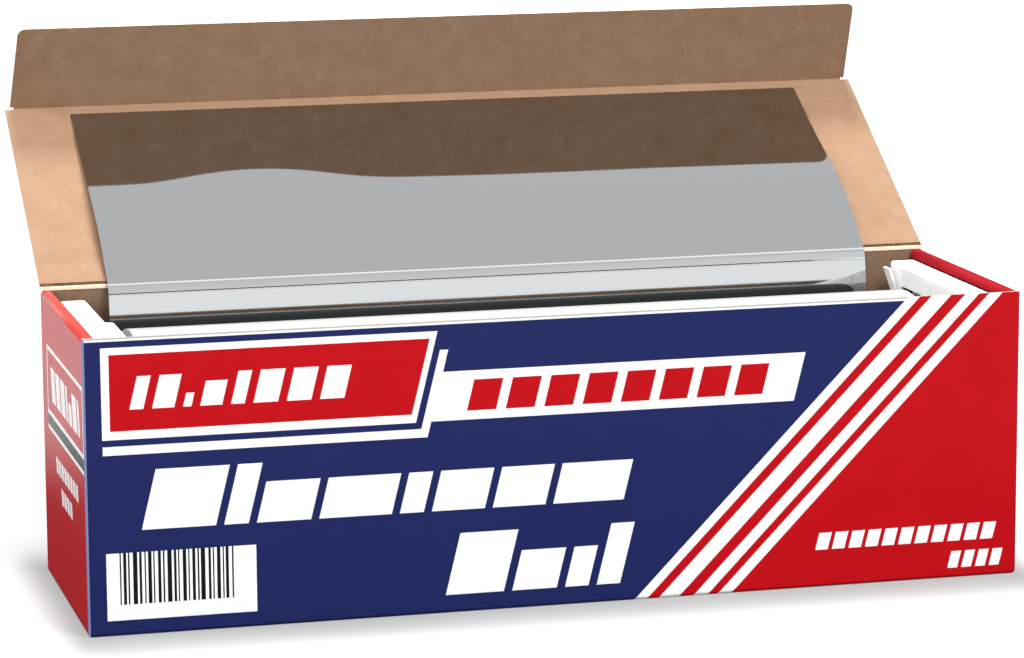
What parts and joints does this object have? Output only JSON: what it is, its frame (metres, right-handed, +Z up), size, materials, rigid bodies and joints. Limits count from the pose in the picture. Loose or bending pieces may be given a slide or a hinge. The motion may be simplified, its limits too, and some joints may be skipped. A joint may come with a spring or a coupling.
{
  "type": "boxed aluminium foil roll",
  "caption": "Food service aluminium foil roll on a paperboard core in an open printed carton with hinged lid and tuck-over front flap.",
  "frame": {"origin": "middle of the carton's base, on the surface it stands on", "axes": "+X along the roll and the carton's length, +Y from the front panel to the back panel, +Z up"},
  "size_m": [0.356, 0.1974, 0.2021],
  "materials": {
    "printed_board": "white clay-coated kraft board, printed navy, red and white outside under a gloss varnish, bare brown kraft inside",
    "white_card": "matt white folded card",
    "core_board": "spiral-wound grey-brown paperboard tube",
    "foil": "bright rolled aluminium foil, mirror side out"
  },
  "bodies": {
    "carton": {"carton_body": "printed_board", "end_support_left": "white_card", "end_support_right": "white_card", "core_tube": "core_board", "foil_roll": "foil", "foil_sheet": "foil"},
    "lid": {"lid_panel": "printed_board"},
    "front_flap": {"lid_front_flap": "printed_board"}
  },
  "joints": [
    {"name": "lid_hinge", "type": "hinge", "parent": "carton", "child": "lid", "pos_m": [0, 0.05335, 0.1102], "axis": [1, 0, 0], "range_deg": [-77, 147.6], "deforming": ["foil_sheet"]},
    {"name": "flap_fold", "type": "hinge", "parent": "lid", "child": "front_flap", "pos_m": [0, 0.1439, 0.16814], "axis": [1, 0, 0], "range_deg": [-85.3, 4.7]}
  ]
}
